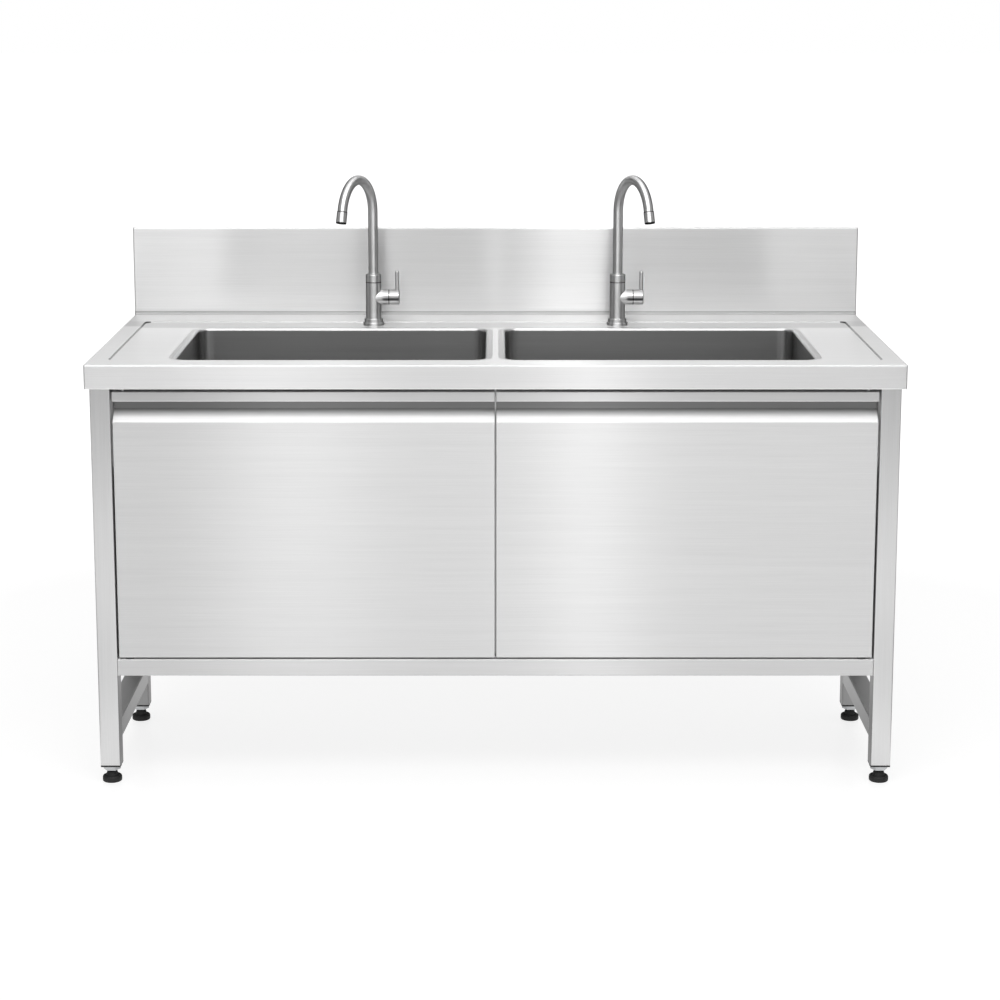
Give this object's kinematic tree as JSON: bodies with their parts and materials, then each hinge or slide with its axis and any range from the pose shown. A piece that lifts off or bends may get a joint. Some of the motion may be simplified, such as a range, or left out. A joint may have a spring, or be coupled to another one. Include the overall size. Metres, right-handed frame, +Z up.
{
  "type": "kitchen sink unit",
  "caption": "Free-standing steel sink unit: worktop with bowls, rear upstand and swan-neck mixer taps over a base cabinet with hinged doors and levelling feet.",
  "frame": {"origin": "on the floor, under the middle of the worktop", "axes": "+X to the right along the worktop, +Y to the back edge with the upstand, +Z up"},
  "size_m": [1.6, 0.7, 1.1858],
  "materials": {
    "worktop_steel": "brushed along its length",
    "bowl_steel": "satin, brushed",
    "frame_steel": "brushed along each tube",
    "panel_steel": "brushed",
    "door_steel": "brushed, horizontal grain",
    "pin_steel": "turned",
    "magnet": "matte, moulded round a magnet",
    "black_rubber": "matte moulded",
    "nylon": "matte moulded",
    "cartridge_plastic": "matte moulded",
    "washer_steel": "plain",
    "brass": "machined",
    "drain_steel": "polished",
    "white_plastic": "smooth moulded",
    "black_plastic": "matte moulded",
    "zinc_steel": "zinc plated",
    "tap_chrome": "polished"
  },
  "bodies": {
    "cabinet": {"worktop": "worktop_steel", "front_top_rail": "frame_steel", "side_top_rails": "frame_steel", "rear_top_rail": "frame_steel", "lower_side_rails": "frame_steel", "bottom_shelf": "panel_steel", "shelf_stiffeners": "panel_steel", "back_panel": "panel_steel", "centre_post": "frame_steel", "magnet_catches": "magnet", "door_buffers": "black_rubber", "hinge_bushes": "nylon", "tap_cartridges": "cartridge_plastic", "tap_washers": "washer_steel", "tap_lock_nuts": "brass", "drain_bodies": "drain_steel", "drain_gaskets": "black_rubber", "drain_lock_nuts": "white_plastic", "tailpieces": "white_plastic", "tail_nuts": "white_plastic", "leg_inserts": "black_plastic", "foot_nuts": "zinc_steel", "bowl_left": "bowl_steel", "leg_front_left": "frame_steel", "leg_rear_left": "frame_steel", "side_panel_left": "panel_steel", "tap_left_body": "tap_chrome", "bowl_right": "bowl_steel", "leg_front_right": "frame_steel", "leg_rear_right": "frame_steel", "side_panel_right": "panel_steel", "tap_right_body": "tap_chrome"},
    "left_door": {"door_left_skin": "door_steel", "door_left_liner": "panel_steel", "door_left_hinge_pins": "pin_steel"},
    "left_spout": {"tap_left_collar": "tap_chrome", "tap_left_spout": "tap_chrome", "tap_left_aerator": "tap_chrome"},
    "left_selector": {"tap_left_selector": "cartridge_plastic"},
    "left_handle": {"tap_left_handle_cap": "tap_chrome", "tap_left_lever": "tap_chrome"},
    "left_basket": {"basket_left": "drain_steel"},
    "right_door": {"door_right_skin": "door_steel", "door_right_liner": "panel_steel", "door_right_hinge_pins": "pin_steel"},
    "right_spout": {"tap_right_collar": "tap_chrome", "tap_right_spout": "tap_chrome", "tap_right_aerator": "tap_chrome"},
    "right_selector": {"tap_right_selector": "cartridge_plastic"},
    "right_handle": {"tap_right_handle_cap": "tap_chrome", "tap_right_lever": "tap_chrome"},
    "right_basket": {"basket_right": "drain_steel"},
    "front_left_foot": {"foot_front_left_pad": "black_rubber", "foot_front_left_spindle": "zinc_steel"},
    "front_right_foot": {"foot_front_right_pad": "black_rubber", "foot_front_right_spindle": "zinc_steel"},
    "rear_left_foot": {"foot_rear_left_pad": "black_rubber", "foot_rear_left_spindle": "zinc_steel"},
    "rear_right_foot": {"foot_rear_right_pad": "black_rubber", "foot_rear_right_spindle": "zinc_steel"}
  },
  "joints": [
    {"name": "left_door_hinge", "type": "hinge", "parent": "cabinet", "child": "left_door", "pos_m": [-0.731, -0.31, 0.259], "axis": [0, 0, -1], "range_deg": [0, 110]},
    {"name": "left_spout_swivel", "type": "hinge", "parent": "cabinet", "child": "left_spout", "pos_m": [-0.2635, 0.2, 0.9506], "axis": [0, 0, 1], "range_deg": [-90, 90]},
    {"name": "left_handle_turn", "type": "hinge", "parent": "cabinet", "child": "left_selector", "pos_m": [-0.2295, 0.2, 0.917], "axis": [1, 0, 0], "range_deg": [-45, 45]},
    {"name": "left_handle_tilt", "type": "hinge", "parent": "left_selector", "child": "left_handle", "pos_m": [-0.2292, 0.2, 0.901], "axis": [0, 1, 0], "range_deg": [0, 20]},
    {"name": "left_basket_lift", "type": "slide", "parent": "cabinet", "child": "left_basket", "axis": [0, 0, 1], "range_m": [0, 0.33]},
    {"name": "right_door_hinge", "type": "hinge", "parent": "cabinet", "child": "right_door", "pos_m": [0.731, -0.31, 0.259], "axis": [0, 0, 1], "range_deg": [0, 110]},
    {"name": "right_spout_swivel", "type": "hinge", "parent": "cabinet", "child": "right_spout", "pos_m": [0.2635, 0.2, 0.9506], "axis": [0, 0, 1], "range_deg": [-90, 90]},
    {"name": "right_handle_turn", "type": "hinge", "parent": "cabinet", "child": "right_selector", "pos_m": [0.2975, 0.2, 0.917], "axis": [1, 0, 0], "range_deg": [-45, 45]},
    {"name": "right_handle_tilt", "type": "hinge", "parent": "right_selector", "child": "right_handle", "pos_m": [0.2978, 0.2, 0.901], "axis": [0, 1, 0], "range_deg": [0, 20]},
    {"name": "right_basket_lift", "type": "slide", "parent": "cabinet", "child": "right_basket", "axis": [0, 0, 1], "range_m": [0, 0.33]},
    {"name": "front_left_foot_screw", "type": "slide", "parent": "cabinet", "child": "front_left_foot", "axis": [0, 0, -1], "range_m": [0, 0.025]},
    {"name": "front_right_foot_screw", "type": "slide", "parent": "cabinet", "child": "front_right_foot", "axis": [0, 0, -1], "range_m": [0, 0.025]},
    {"name": "rear_left_foot_screw", "type": "slide", "parent": "cabinet", "child": "rear_left_foot", "axis": [0, 0, -1], "range_m": [0, 0.025]},
    {"name": "rear_right_foot_screw", "type": "slide", "parent": "cabinet", "child": "rear_right_foot", "axis": [0, 0, -1], "range_m": [0, 0.025]}
  ]
}
